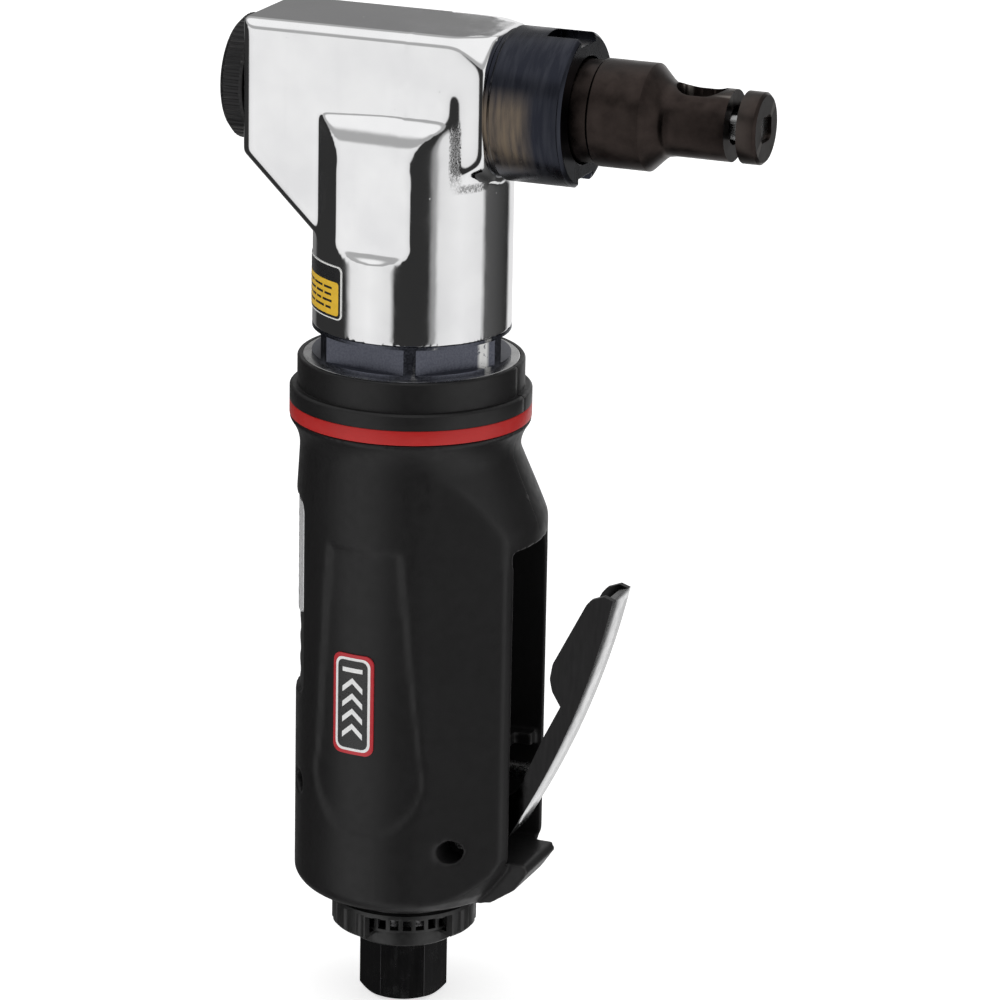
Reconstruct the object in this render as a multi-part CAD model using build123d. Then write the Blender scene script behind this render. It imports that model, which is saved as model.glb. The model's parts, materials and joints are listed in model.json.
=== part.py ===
"""Pneumatic nibbler: a lever-throttle air motor, planetary gearing and a crank that drives a punch through a die.

Frame: millimetres. The origin is the centre of the air inlet's mouth, +Z runs up the handle,
and +X is the direction of the nose and of the throttle lever.
"""
from build123d import *
from math import acos, atan2, cos, degrees, hypot, pi, radians, sin, sqrt, tan
import os

# ---- driving dimensions (mm) ------------------------------------------------------------------
FIT = 0.03             # radial gap between nested pieces that are assembled and stay put
RUN = 0.06             # radial gap of a running fit
SLACK = 0.35           # gap between pieces that pass each other

# air inlet and exhaust
INLET_ACROSS_FLATS = 17.0
INLET_HEX_TOP = 13.3
INLET_PORT_R = 6.4
INLET_PORT_DEPTH = 12.0
INLET_BARREL_R = 8.4
INLET_STUB_R = 7.4
INLET_STUB_TOP = 40.0
AIR_WAY_R = 3.0
DEFLECTOR_R = 16.2
DEFLECTOR_HUB_R = 12.0
DEFLECTOR_HUB_Z = 14.1
DEFLECTOR_FLOOR_Z = 16.6
DEFLECTOR_TOP = 23.0
DEFLECTOR_MOUTH_TOP = 21.9
CAGE_R = 12.9
CAGE_WINDOWS = 28
CAGE_WINDOW_Z0 = 18.3
CAGE_WINDOW_Z1 = 20.9

# grip
GRIP_Z0 = 25.8
GRIP_R = 24.7
GRIP_NECK_R = 24.2
BAND_R = 26.5
BAND_Z0 = 134.95
BAND_Z1 = 138.25
COLLAR_STEP_Z = 141.8
COLLAR_RIM_R = 24.85
COLLAR_TOP = 148.3
GRIP_BOTTOM_ROUND = 6.5     # how far the bottom edge's round runs in
GRIP_BOTTOM_RISE = 3.8      # and how far it runs up
EXHAUST_WELL_R = 15.5
EXHAUST_WELL_TOP = 30.0
WALL_X = 27.8          # front of the two walls beside the lever slot
WALL_Y = 12.6
HOOD_X = 30.6          # front of the hood above the slot
HOOD_Z = 112.5
SLOT_HALF = 9.7
SLOT_FLOOR_X = 19.9
SLOT_Z0 = 36.9
SLOT_Z1 = 109.3
LEDGE_Z0 = 59.4
LEDGE_Z1 = 62.0
LEDGE_X = 27.2
LEDGE_NOTCH_X = 23.4   # where the ledge is cut back to clear the squeezed lever
LIP_X = 32.8
LIP_HALF = 8.6
SCOOP_DEPTH = 0.7
PANEL_HALF_ANGLE = 45.0
PANEL_Z0 = 72.0
PANEL_Z1 = 117.0
PANEL_DEPTH = 0.9
LABEL_Z0 = 90.5

# motor housing
HOUSING_R = 18.6
HOUSING_Z0 = EXHAUST_WELL_TOP
HOUSING_STEP_Z = 112.5
HOUSING_HEAD_R = 21.4
HOUSING_RIM_R = 23.7
HOUSING_RIM_Z = 142.0
MOTOR_BORE_R = 16.2
MOTOR_FLOOR_Z = 70.0
GEAR_BORE_R = 18.6
GEAR_BORE_Z = 117.0

# vane motor
END_PLATE = 6.0
LINER_Z0 = 76.0
LINER_Z1 = 108.0
LINER_BORE_R = 13.0
ROTOR_R = 11.55
ROTOR_OFFSET = 1.3
ROTOR_JOURNAL_R = 4.0
VANES = 5
VANE_THICK = 1.6
VANE_DEPTH = 6.2

# planetary reduction
MODULE = 0.8
PRESSURE_ANGLE = radians(25.0)
ADDENDUM = 0.7
DEDENDUM = 0.9
TOOTH_RELIEF = 0.07    # taken off each flank at the pitch circle
SUN_TEETH = 9
PLANET_TEETH = 15
RING_TEETH = 39
GEAR_Z0 = 121.0
GEAR_Z1 = 129.0
PLANET_PIN_R = 2.4
PLANET_COUNT = 3
CENTRE_DISTANCE = MODULE * (SUN_TEETH + PLANET_TEETH) / 2

# crank
CARRIER_Z0 = 129.5
CARRIER_Z1 = 133.5
CARRIER_R = 13.6
LOWER_BEARING_Z0 = 134.0
LOWER_BEARING_R = 14.0
LOWER_SHAFT_R = 7.5
BEARING_WIDTH = 7.0
UPPER_BEARING_Z0 = 168.0
UPPER_BEARING_R = 12.0
UPPER_SHAFT_R = 6.0
CRANK_WEB_Z0 = 177.5
CRANK_WEB_Z1 = 188.0
CRANK_WEB_R = 9.8
CRANK_THROW = 3.0
CRANK_PIN_R = 3.4
ROLLER_R = 5.0
ROLLER_Z0 = 198.6
ROLLER_Z1 = 208.6

# head
NOSE_Z = 206.3
HEAD_R = 21.7
HEAD_Z0 = 155.5
NUT_SKIRT_R = 20.4
NUT_BORE_R = 17.2
NUT_SKIRT_Z0 = 141.5
NUT_TOP = HEAD_Z0
SPIGOT_Z0 = 143.0
BARREL_HALF = 15.0
BARREL_TOP = 222.0
BARREL_BOTTOM = 189.6
BARREL_BACK_X = -34.6
BOSS_R = 17.3
BOSS_X = 22.0
PAD_Y = 19.9
PAD_Z0 = 176.0
PAD_Z1 = 193.0
PAD_TOP = 204.0
PAD_TURN = -3.5         # the pads lean this far round, in degrees, from square to the nose
GUSSET_X = -17.5
GUSSET_Z0 = 175.9
GUSSET_Z1 = 192.4
CHAMBER_R = 11.3
NOSE_BORE_R = 10.5
CAP_R = 13.6
CAP_X0 = -40.2
NIPPLE_R = 13.4
NIPPLE_X = 34.0

# ram, punch and die
RAM_R = 9.0
RAM_X0 = -19.0
RAM_X1 = 26.5
YOKE_PLAY = 0.8        # lost motion each side of the roller
YOKE_TOP_Z = 210.6
PUNCH_R = 4.0
PUNCH_TIP_X = 78.6
PUNCH_BLADE_Y = 6.5
PUNCH_BLADE_Z = 5.4
DIE_X0 = 28.0
DIE_R = 11.5
DIE_SHOULDER_X = 54.7
DIE_NECK_R = 7.7
DIE_FACE_X = 72.5
DIE_DISC_X = 75.2
DIE_TIP_X = 79.4
LOCK_NUT_R = 16.6
LOCK_NUT_X1 = 39.4

# throttle
LEVER_PIN_X = 17.9
LEVER_PIN_Z = 41.1
LEVER_PIN_R = 1.6
LEVER_HALF = 5.65
LEVER_SHEET = 1.4
LEVER_ROUNDS = [(76.0, 84.5, 2.5), (97.5, 99.9, 0.8)]   # corners of the cheeks: from z, to z, radius
VALVE_Z = 56.0
STEM_R = 1.8
STEM_TIP_X = 32.3
VALVE_SEAT_X = 8.0
VALVE_HEAD_R = 3.6
VALVE_CHAMBER_R = 4.5
VALVE_CAP_X = -13.0
SPRING_R = 2.9
SPRING_WIRE_R = 0.35
SPRING_TURNS = 7


# ---- helpers ----------------------------------------------------------------------------------
UPWARD = (Align.CENTER, Align.CENTER, Align.MIN)
NOSE_AXIS = Axis((0, 0, NOSE_Z), (1, 0, 0))


def disc(radius, z0, z1, x=0.0, y=0.0):
    """A cylinder along Z."""
    return Pos(x, y, z0) * Cylinder(radius, z1 - z0, align=UPWARD)


def tube(outer, inner, z0, z1, x=0.0, y=0.0):
    return disc(outer, z0, z1, x, y) - disc(inner, z0 - 1, z1 + 1, x, y)


def rod(radius, x0, x1, z=NOSE_Z, y=0.0):
    """A cylinder along X."""
    return Pos(x0, y, z) * Rot(0, 90, 0) * Cylinder(radius, x1 - x0, align=UPWARD)


def sleeve(outer, inner, x0, x1, z=NOSE_Z):
    return rod(outer, x0, x1, z) - rod(inner, x0 - 1, x1 + 1, z)


def block(x0, x1, y0, y1, z0, z1):
    return Pos((x0 + x1) / 2, (y0 + y1) / 2, (z0 + z1) / 2) * Box(x1 - x0, y1 - y0, z1 - z0)


def turned(points):
    """Revolve an outline of (radius, z) points about Z."""
    outline = Polyline(*[(r, 0, z) for r, z in points], close=True)
    return revolve(make_face(outline), Axis.Z)


def turned_on_nose(points):
    """Revolve an outline of (x, radius) points about the nose axis."""
    outline = Polyline(*[(x, 0, NOSE_Z + r) for x, r in points], close=True)
    return revolve(make_face(outline), NOSE_AXIS)


def plate_xz(points, y0, y1):
    """A flat plate: an outline of (x, z) points, from y0 to y1."""
    outline = Polyline(*[(x, y0, z) for x, z in points], close=True)
    return extrude(make_face(outline), amount=y1 - y0, dir=(0, 1, 0))


def polar(radius, angle):
    """The (x, y) point at a radius and an angle in degrees."""
    return radius * cos(radians(angle)), radius * sin(radians(angle))


def sector(radius, angle0, angle1, z0, z1):
    """A wedge about Z between two angles in degrees, less than 180 apart."""
    reach = radius / cos(radians((angle1 - angle0) / 4)) * 1.01
    corners = [polar(reach, a) for a in (angle0, (angle0 + angle1) / 2, angle1)]
    outline = Polyline((0, 0, z0), *[(x, y, z0) for x, y in corners], close=True)
    return extrude(make_face(outline), amount=z1 - z0, dir=(0, 0, 1))


def curved_plate(radius, thickness, angle0, angle1, z0, z1, corner):
    """A label that lies on a cylinder about Z, with rounded corners."""
    middle = (angle0 + angle1) / 2
    width = 2 * radius * sin(radians(angle1 - angle0) / 2)
    outline = RectangleRounded(width, z1 - z0, corner)
    cutter = extrude(Plane.XZ * outline, amount=2 * radius)
    cutter = Rot(0, 0, middle + 90) * Pos(0, 0, (z0 + z1) / 2) * cutter
    return tube(radius + thickness, radius, z0 - 1, z1 + 1) & cutter


# ---- gears ------------------------------------------------------------------------------------
def involute(angle):
    return tan(angle) - angle


def gear_face(teeth, tip_r, root_r, relief, first_tooth=0.0):
    """The outline of an external gear. A tooth is centred on the angle first_tooth, in degrees."""
    pitch_r = MODULE * teeth / 2
    base_r = pitch_r * cos(PRESSURE_ANGLE)

    def half_angle(radius):
        local = acos(min(1.0, base_r / radius))
        return pi / (2 * teeth) - relief / pitch_r + involute(PRESSURE_ANGLE) - involute(local)

    def at(radius, angle):
        return radius * cos(angle), radius * sin(angle)

    low_r = max(base_r, root_r)
    mid_r = (low_r + tip_r) / 2
    edges = []
    for tooth in range(teeth):
        centre = radians(first_tooth) + 2 * pi * tooth / teeth
        following = centre + 2 * pi / teeth
        low, mid, tip = half_angle(low_r), half_angle(mid_r), half_angle(tip_r)
        if root_r < low_r:
            edges.append(Line(at(root_r, centre - low), at(low_r, centre - low)))
            edges.append(Line(at(low_r, centre + low), at(root_r, centre + low)))
        edges.append(ThreePointArc(at(low_r, centre - low), at(mid_r, centre - mid), at(tip_r, centre - tip)))
        edges.append(ThreePointArc(at(tip_r, centre - tip), at(tip_r, centre), at(tip_r, centre + tip)))
        edges.append(ThreePointArc(at(tip_r, centre + tip), at(mid_r, centre + mid), at(low_r, centre + low)))
        root_middle = (centre + following) / 2
        edges.append(ThreePointArc(at(root_r, centre + low), at(root_r, root_middle),
                                   at(root_r, following - low)))
    return make_face(edges)


def planet_place(index):
    return polar(CENTRE_DISTANCE, 360 / PLANET_COUNT * index)


# ---- air inlet and exhaust --------------------------------------------------------------------
def inlet_bushing():
    circumradius = INLET_ACROSS_FLATS / 2 / cos(pi / 6)
    hexagon = extrude(RegularPolygon(circumradius, 6, rotation=21.0), amount=INLET_HEX_TOP)
    crown = turned([(0, 0), (INLET_ACROSS_FLATS / 2 - 0.3, 0), (circumradius + 0.1, 0.9),
                    (circumradius + 0.1, INLET_HEX_TOP), (0, INLET_HEX_TOP)])
    body = (hexagon & crown) + disc(INLET_BARREL_R, INLET_HEX_TOP, HOUSING_Z0)
    body += disc(INLET_STUB_R, HOUSING_Z0, INLET_STUB_TOP)
    body -= disc(INLET_PORT_R, -1, INLET_PORT_DEPTH)
    body -= disc(AIR_WAY_R + 1.5, INLET_PORT_DEPTH, 20.0)
    return body - disc(AIR_WAY_R, 19.0, INLET_STUB_TOP + 1)


def inlet_screen():
    """A brass gauze cup that rests on the step under the port."""
    cup = disc(AIR_WAY_R + 1.4, 15.0, 20.0) - disc(AIR_WAY_R + 0.8, 14.0, 19.4)
    for angle in range(0, 360, 60):
        x, y = polar(2.4, angle)
        cup -= disc(0.7, 19.0, 21.0, x, y)
    return cup - disc(0.7, 19.0, 21.0)


def inlet_seal():
    return tube(INLET_BARREL_R - FIT, INLET_STUB_R + FIT, HOUSING_Z0, HOUSING_Z0 + 1.2)


def exhaust_deflector():
    """A collar that swivels about the inlet and throws the exhaust to one side through its mouth."""
    floor_top = DEFLECTOR_FLOOR_Z + 0.8
    skirt = disc(DEFLECTOR_R, DEFLECTOR_FLOOR_Z, DEFLECTOR_TOP)
    skirt = chamfer(skirt.edges().group_by(Axis.Z)[0], 0.5)
    for angle in range(0, 360, 15):
        x, y = polar(DEFLECTOR_R + 1.0, angle)
        skirt -= disc(1.45, DEFLECTOR_FLOOR_Z - 1, DEFLECTOR_TOP - 0.9, x, y)
    skirt -= disc(DEFLECTOR_R - 1.9, floor_top, DEFLECTOR_TOP + 1)
    mouth = sector(DEFLECTOR_R + 2, -100, -26, DEFLECTOR_FLOOR_Z - 1, DEFLECTOR_MOUTH_TOP)
    skirt -= mouth - disc(DEFLECTOR_HUB_R, 0, 30)
    hub = disc(DEFLECTOR_HUB_R, DEFLECTOR_HUB_Z, floor_top)
    hub = chamfer(hub.edges().group_by(Axis.Z)[0], 0.4)
    return skirt + hub - disc(INLET_BARREL_R + SLACK, 0, 30)


def muffler_cage():
    """A fixed ring of square exhaust windows inside the deflector."""
    ring = tube(CAGE_R, CAGE_R - 1.1, DEFLECTOR_FLOOR_Z + 1.15, GRIP_Z0 + 2)
    ring += tube(EXHAUST_WELL_R - FIT, CAGE_R - 1.1, GRIP_Z0, GRIP_Z0 + 2)
    for window in range(CAGE_WINDOWS):
        ring -= Rot(0, 0, 360 / CAGE_WINDOWS * window) * block(CAGE_R - 2, CAGE_R + 1, -0.95, 0.95,
                                                            CAGE_WINDOW_Z0, CAGE_WINDOW_Z1)
    return ring


def exhaust_muffler():
    return tube(EXHAUST_WELL_R - FIT, INLET_BARREL_R + FIT, GRIP_Z0 + 2, EXHAUST_WELL_TOP)


# ---- motor housing ----------------------------------------------------------------------------
def motor_housing():
    """Steel body: valve block below, motor bore above, gear bore and threaded rim at the top."""
    body = disc(HOUSING_R, HOUSING_Z0, HOUSING_STEP_Z)
    body += disc(HOUSING_HEAD_R, HOUSING_STEP_Z, HOUSING_RIM_Z)
    body += disc(HOUSING_RIM_R, HOUSING_RIM_Z, COLLAR_TOP)
    body -= disc(MOTOR_BORE_R, MOTOR_FLOOR_Z, GEAR_BORE_Z + 1)
    body -= disc(GEAR_BORE_R, GEAR_BORE_Z, NUT_SKIRT_Z0)
    body -= disc(NUT_SKIRT_R + FIT, NUT_SKIRT_Z0, COLLAR_TOP + 1)
    # inlet stub, air way up to the valve, and the way on to the motor
    body -= disc(INLET_STUB_R + FIT, HOUSING_Z0 - 1, INLET_STUB_TOP)
    body -= disc(INLET_BARREL_R, HOUSING_Z0 - 1, HOUSING_Z0 + 1.2)
    body -= disc(AIR_WAY_R, INLET_STUB_TOP - 1, VALVE_Z)
    body -= disc(2.0, VALVE_Z, MOTOR_FLOOR_Z + 1, x=12.0)
    # cross bore of the throttle valve
    body -= rod(VALVE_CHAMBER_R, -HOUSING_R - 1, HOUSING_R + 1, VALVE_Z)
    # pocket for the lever's eyes
    return body - block(LEVER_PIN_X - 4.7, 25, -SLOT_HALF, SLOT_HALF, LEVER_PIN_Z - 4.2,
                        VALVE_Z - VALVE_CHAMBER_R - 1.0)


# ---- throttle ---------------------------------------------------------------------------------
def stem_bushing():
    body = sleeve(VALVE_CHAMBER_R - FIT, STEM_R + RUN, VALVE_SEAT_X, HOUSING_R - 0.2, VALVE_Z)
    body -= sleeve(VALVE_CHAMBER_R + 1, 3.2, 10.4, 13.6, VALVE_Z)
    return body - rod(2.5, VALVE_SEAT_X - 1, 13.6, VALVE_Z)


def throttle_stem():
    """The pin that the lever pushes in, with its sealing head at the inner end."""
    tip = Pos(STEM_TIP_X - STEM_R, 0, VALVE_Z) * Sphere(STEM_R)
    pin = rod(STEM_R, 3.5, STEM_TIP_X - STEM_R, VALVE_Z) + tip
    return pin + rod(VALVE_HEAD_R, 3.5, 6.2, VALVE_Z)


def stem_seal():
    return sleeve(VALVE_HEAD_R - 0.2, STEM_R, 6.2, VALVE_SEAT_X - 0.1, VALVE_Z)


def valve_spring():
    length = 3.5 - VALVE_CAP_X - 2 * SPRING_WIRE_R
    coil = Helix(length / SPRING_TURNS, length, SPRING_R)
    section = Plane(coil @ 0, z_dir=coil % 0) * RegularPolygon(SPRING_WIRE_R, 12)
    wire = sweep(section, path=coil, is_frenet=True)
    return Pos(VALVE_CAP_X + SPRING_WIRE_R, 0, VALVE_Z) * Rot(0, 90, 0) * wire


def valve_cap():
    """A threaded plug with a hexagon socket that closes the back of the valve bore."""
    plug = rod(VALVE_CHAMBER_R - FIT, -HOUSING_R + 0.8, VALVE_CAP_X, VALVE_Z)
    socket = extrude(Plane.YZ.offset(-HOUSING_R) * Pos(0, VALVE_Z) * RegularPolygon(2.3, 6), amount=3.0)
    return plug - socket


def lever_flange_outline():
    """The side of the lever from its hooked tip down to the eye on its pin."""
    return [(50.1, 100.0), (48.0, 100.7), (45.0, 99.5), (44.0, 98.3), (36.5, 83.7), (35.9, 80.2), (36.5, 77.4),
            (38.5, 74.1), (34.7, 66.4), (28.7, 52.4), (20.4, 45.0), (17.9, 41.1), (18.6, 38.2), (26.9, 41.9)]


def throttle_lever():
    """A pressed channel: a bowed back with a cheek down each side, hooked on the lever pin."""
    top, middle, bottom = (50.1, 100.0), (41.3, 71.2), (26.9, 41.9)
    back = ThreePointArc(*[(x, 0, z) for x, z in (top, middle, bottom)])
    inner = ThreePointArc(*[(x - LEVER_SHEET * 1.08, 0, z) for x, z in (bottom, middle, top)])
    web_face = make_face([back, Line(back @ 1, inner @ 0), inner, Line(inner @ 1, back @ 0)])
    lever = extrude(web_face, amount=LEVER_HALF, dir=(0, 1, 0), both=True)
    bow = ThreePointArc(*[(x, 0, z) for x, z in (bottom, middle, top)])
    inner_side = Polyline(*[(x, 0, z) for x, z in lever_flange_outline()])
    side = make_face([bow, inner_side])
    for low, high, radius in LEVER_ROUNDS:
        corners = [v for v in side.vertices() if v.X < 49 and low < v.Z < high]
        side = fillet(corners, radius)
    eye = Pos(LEVER_PIN_X, 0, LEVER_PIN_Z) * Rot(90, 0, 0) * Cylinder(3.1, 2 * LEVER_HALF)
    cheeks = extrude(side, amount=LEVER_HALF, dir=(0, 1, 0), both=True) + eye
    hollow = block(0, 80, -LEVER_HALF + LEVER_SHEET, LEVER_HALF - LEVER_SHEET, 20, 120)
    lever += cheeks - hollow
    hole = Pos(LEVER_PIN_X, 0, LEVER_PIN_Z) * Rot(90, 0, 0) * Cylinder(LEVER_PIN_R + RUN, 40)
    return lever - hole


def lever_pin():
    return Pos(LEVER_PIN_X, 0, LEVER_PIN_Z) * Rot(90, 0, 0) * Cylinder(LEVER_PIN_R, 22.0)


# ---- grip -------------------------------------------------------------------------------------
def grip_outer():
    """The grip's outer form: a round body, a flared neck, and the swelling round the lever slot."""
    corner = GRIP_R - GRIP_BOTTOM_ROUND
    middle = (corner + GRIP_BOTTOM_ROUND * sqrt(0.5), 0, GRIP_Z0 + GRIP_BOTTOM_RISE * (1 - sqrt(0.5)))
    lower = ThreePointArc((corner, 0, GRIP_Z0), middle, (GRIP_R, 0, GRIP_Z0 + GRIP_BOTTOM_RISE))
    flare = ThreePointArc((GRIP_NECK_R, 0, 127.0), (GRIP_NECK_R + 0.5, 0, 131.2), (BAND_R, 0, 134.3))
    edges = [lower, Line(lower @ 1, (GRIP_R, 0, 118.0)), Line((GRIP_R, 0, 118.0), flare @ 0), flare,
             Line(flare @ 1, (BAND_R, 0, BAND_Z0)), Line((BAND_R, 0, BAND_Z0), (0, 0, BAND_Z0)),
             Line((0, 0, BAND_Z0), (0, 0, GRIP_Z0)), Line((0, 0, GRIP_Z0), lower @ 0)]
    body = revolve(make_face(edges), Axis.Z)

    # the swelling's section: two walls tangent to the round body, and a bowed front
    reach = hypot(WALL_X, WALL_Y)
    tangent_angle = degrees(atan2(WALL_Y, WALL_X)) + degrees(acos(GRIP_R / reach))
    tx, ty = polar(GRIP_R, tangent_angle)
    front = ThreePointArc((WALL_X, -WALL_Y), (HOOD_X, 0), (WALL_X, WALL_Y))
    section = make_face([front, Line((WALL_X, WALL_Y), (tx, ty)), Line((tx, ty), (0, 0)), Line((0, 0), (tx, -ty)),
                         Line((tx, -ty), (WALL_X, -WALL_Y))])
    swelling = Pos(0, 0, GRIP_Z0) * extrude(section, amount=128.4 - GRIP_Z0)
    envelope = turned([(0, GRIP_Z0), (corner, GRIP_Z0), (22.9, 26.9), (25.4, 29.6), (29.2, 35.0), (31.0, 40.0),
                       (HOOD_X + 0.2, HOOD_Z), (24.0, 128.4), (0, 128.4)])
    lip = plate_xz([(18, SLOT_Z0), (LIP_X - 0.8, SLOT_Z0), (LIP_X, SLOT_Z0 - 1.6), (LIP_X - 3.2, 30.6), (24.0, 26.8),
                    (18, GRIP_Z0)], -LIP_HALF, LIP_HALF)
    return body + (swelling & envelope) + lip


def scoop_cutter(side):
    """A shallow thumb scoop on one flank, with a round lower end."""
    left = Line((-9.6, 110.0), (-12.6, 62.0))
    lower = ThreePointArc((-12.6, 62.0), (-0.6, 44.5), (12.4, 60.0))
    right = Line((12.4, 60.0), (7.6, 110.0))
    outline = make_face([left, lower, right, Line((7.6, 110.0), (-9.6, 110.0))])
    cutter = extrude(Plane.XZ * outline, amount=40.0)
    if side > 0:
        cutter = mirror(cutter, Plane.XZ)
    return cutter - disc(GRIP_R - SCOOP_DEPTH, 30, 130)


def grip():
    body = grip_outer()
    body -= disc(EXHAUST_WELL_R, GRIP_Z0 - 1, EXHAUST_WELL_TOP)
    body -= disc(HOUSING_R + FIT, EXHAUST_WELL_TOP, HOUSING_STEP_Z)
    body -= disc(HOUSING_HEAD_R + FIT, HOUSING_STEP_Z, BAND_Z0 + 1)
    # lever slot: a pocket with a ledge across it above the valve stem, and open to the housing below
    body -= block(SLOT_FLOOR_X, 50, -SLOT_HALF, SLOT_HALF, LEDGE_Z1, SLOT_Z1)
    body -= block(14.0, 50, -SLOT_HALF, SLOT_HALF, SLOT_Z0, LEDGE_Z0)
    body -= block(LEDGE_NOTCH_X, 50, -LEVER_HALF - 1.0, LEVER_HALF + 1.0, LEDGE_Z0 - 1, LEDGE_Z1 + 1)
    body -= block(LEDGE_X, 50, -SLOT_HALF, SLOT_HALF, LEDGE_Z0 - 1, LEDGE_Z1 + 1)
    # lever pin hole, counterbored from each side
    body -= Pos(LEVER_PIN_X, 0, LEVER_PIN_Z) * Rot(90, 0, 0) * Cylinder(LEVER_PIN_R + FIT, 60)
    for side in (-1, 1):
        body -= Pos(LEVER_PIN_X, side * 21.0, LEVER_PIN_Z) * Rot(90, 0, 0) * Cylinder(2.6, 20)
        body -= scoop_cutter(side)
        body -= Rot(0, 0, 180 + 38 * side) * rod(2.5 + FIT, 18, 30, 51.5)
    # label panel and its three slots at the back
    panel = curved_plate(GRIP_R - PANEL_DEPTH, 5, 180 - PANEL_HALF_ANGLE, 180 + PANEL_HALF_ANGLE,
                         PANEL_Z0, PANEL_Z1, 3.0)
    body -= panel
    for z in (76.0, 81.0, 86.0):
        slot = extrude(Plane.YZ.offset(-30) * Pos(0, z) * SlotOverall(22.0, 3.0), amount=20)
        body -= slot
    return body


def grip_screws():
    """Two short set screws that stop the grip turning on the housing."""
    screws = Part()
    for side in (-1, 1):
        screw = rod(2.5, HOUSING_R + FIT, 22.6, 51.5) - rod(1.1, 21.2, 23, 51.5)
        screws += Rot(0, 0, 180 + 38 * side) * screw
    return screws


def accent_band():
    return tube(BAND_R, HOUSING_HEAD_R + FIT, BAND_Z0, BAND_Z1)


def grip_collar():
    """The clamp collar over the band, split down one side."""
    collar = turned([(HOUSING_HEAD_R + FIT, BAND_Z1), (BAND_R, BAND_Z1), (BAND_R, COLLAR_STEP_Z - 0.5),
                     (BAND_R - 0.5, COLLAR_STEP_Z), (COLLAR_RIM_R, COLLAR_STEP_Z), (COLLAR_RIM_R, COLLAR_TOP - 0.4),
                     (COLLAR_RIM_R - 0.3, COLLAR_TOP), (HOUSING_RIM_R + FIT, COLLAR_TOP),
                     (HOUSING_RIM_R + FIT, HOUSING_RIM_Z), (HOUSING_HEAD_R + FIT, HOUSING_RIM_Z)])
    return collar - block(20, 30, -0.12, 0.12, BAND_Z1 - 1, COLLAR_TOP + 1)


def rating_plate():
    return curved_plate(GRIP_R - PANEL_DEPTH, 0.4, 180 - PANEL_HALF_ANGLE + 4, 180 + PANEL_HALF_ANGLE - 4,
                        LABEL_Z0, PANEL_Z1 - 1.0, 2.0)


def side_badge():
    return curved_plate(GRIP_R - SCOOP_DEPTH, 0.3, -109.0, -85.0, 63.0, 86.0, 2.0)


# ---- vane motor -------------------------------------------------------------------------------
def end_plate(z0, bearing_z0):
    """A motor end plate with a seat for the rotor bearing on its outer side."""
    plate = disc(MOTOR_BORE_R - FIT, z0, z0 + END_PLATE)
    plate -= disc(ROTOR_JOURNAL_R + 1.5, z0 - 1, z0 + END_PLATE + 1)
    return plate - disc(8.0 + FIT, bearing_z0, bearing_z0 + 5.0)


def rear_end_plate():
    return end_plate(MOTOR_FLOOR_Z, MOTOR_FLOOR_Z - 0.5)


def front_end_plate():
    return end_plate(LINER_Z1, LINER_Z1 + 1.5)


def cylinder_liner():
    """The liner's bore is offset from the rotor's axis, which makes the crescent that the vanes sweep."""
    liner = disc(MOTOR_BORE_R - FIT, LINER_Z0, LINER_Z1) - disc(LINER_BORE_R, LINER_Z0 - 1, LINER_Z1 + 1,
                                                                x=-ROTOR_OFFSET)
    for z in (84.0, 92.0, 100.0):
        liner -= Rot(0, 0, 205) * rod(1.6, 8, 20, z)
        liner -= Rot(0, 0, 140) * rod(1.6, 8, 20, z)
    return liner - disc(1.0 + FIT, LINER_Z0 - 1, LINER_Z0 + 4, x=14.2)


def locating_pin():
    return disc(1.0, LINER_Z0, LINER_Z0 + 4, x=14.2)


def rotor():
    body = disc(ROTOR_R, LINER_Z0 + 0.1, LINER_Z1 - 0.1)
    body += disc(ROTOR_JOURNAL_R, MOTOR_FLOOR_Z + 0.4, 116.5)
    for vane in range(VANES):
        slot = block(ROTOR_R - VANE_DEPTH - 0.4, ROTOR_R + 1, -VANE_THICK / 2 - RUN, VANE_THICK / 2 + RUN,
                     LINER_Z0 - 1, LINER_Z1 + 1)
        body -= Rot(0, 0, 360 / VANES * vane + 20) * slot
    return body - disc(2.2 + FIT, 108.0, 117)


def rotor_vanes():
    vanes = Part()
    for vane in range(VANES):
        blade = block(ROTOR_R - VANE_DEPTH - 0.2, ROTOR_R - 0.2, -VANE_THICK / 2, VANE_THICK / 2,
                      LINER_Z0 + 0.15, LINER_Z1 - 0.15)
        vanes += Rot(0, 0, 360 / VANES * vane + 20) * blade
    return vanes


def sun_pinion():
    pitch_r = MODULE * SUN_TEETH / 2
    outline = gear_face(SUN_TEETH, pitch_r + ADDENDUM, pitch_r - DEDENDUM, TOOTH_RELIEF)
    return Pos(0, 0, 116.5) * extrude(outline, amount=GEAR_Z1 - 0.3 - 116.5) + disc(2.2, 109.0, 116.5)


# ---- bearings ---------------------------------------------------------------------------------
def bearing_fixed(outer_r, shaft_r, z0, width):
    """The outer ring with its balls."""
    radial = outer_r - shaft_r
    ring = 0.24 * radial
    race = tube(outer_r, outer_r - ring, z0, z0 + width)
    ball_r = (radial - 2 * ring) / 2 - 0.08
    pitch_r = (outer_r + shaft_r) / 2
    count = int(2 * pi * pitch_r / (2.5 * ball_r))
    balls = Part() + race
    for index in range(count):
        x, y = polar(pitch_r, 360 / count * index)
        balls += Pos(x, y, z0 + width / 2) * Sphere(ball_r)
    return balls


def bearing_turning(outer_r, shaft_r, z0, width):
    ring = 0.24 * (outer_r - shaft_r)
    return tube(shaft_r + ring, shaft_r + FIT, z0, z0 + width)


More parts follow.
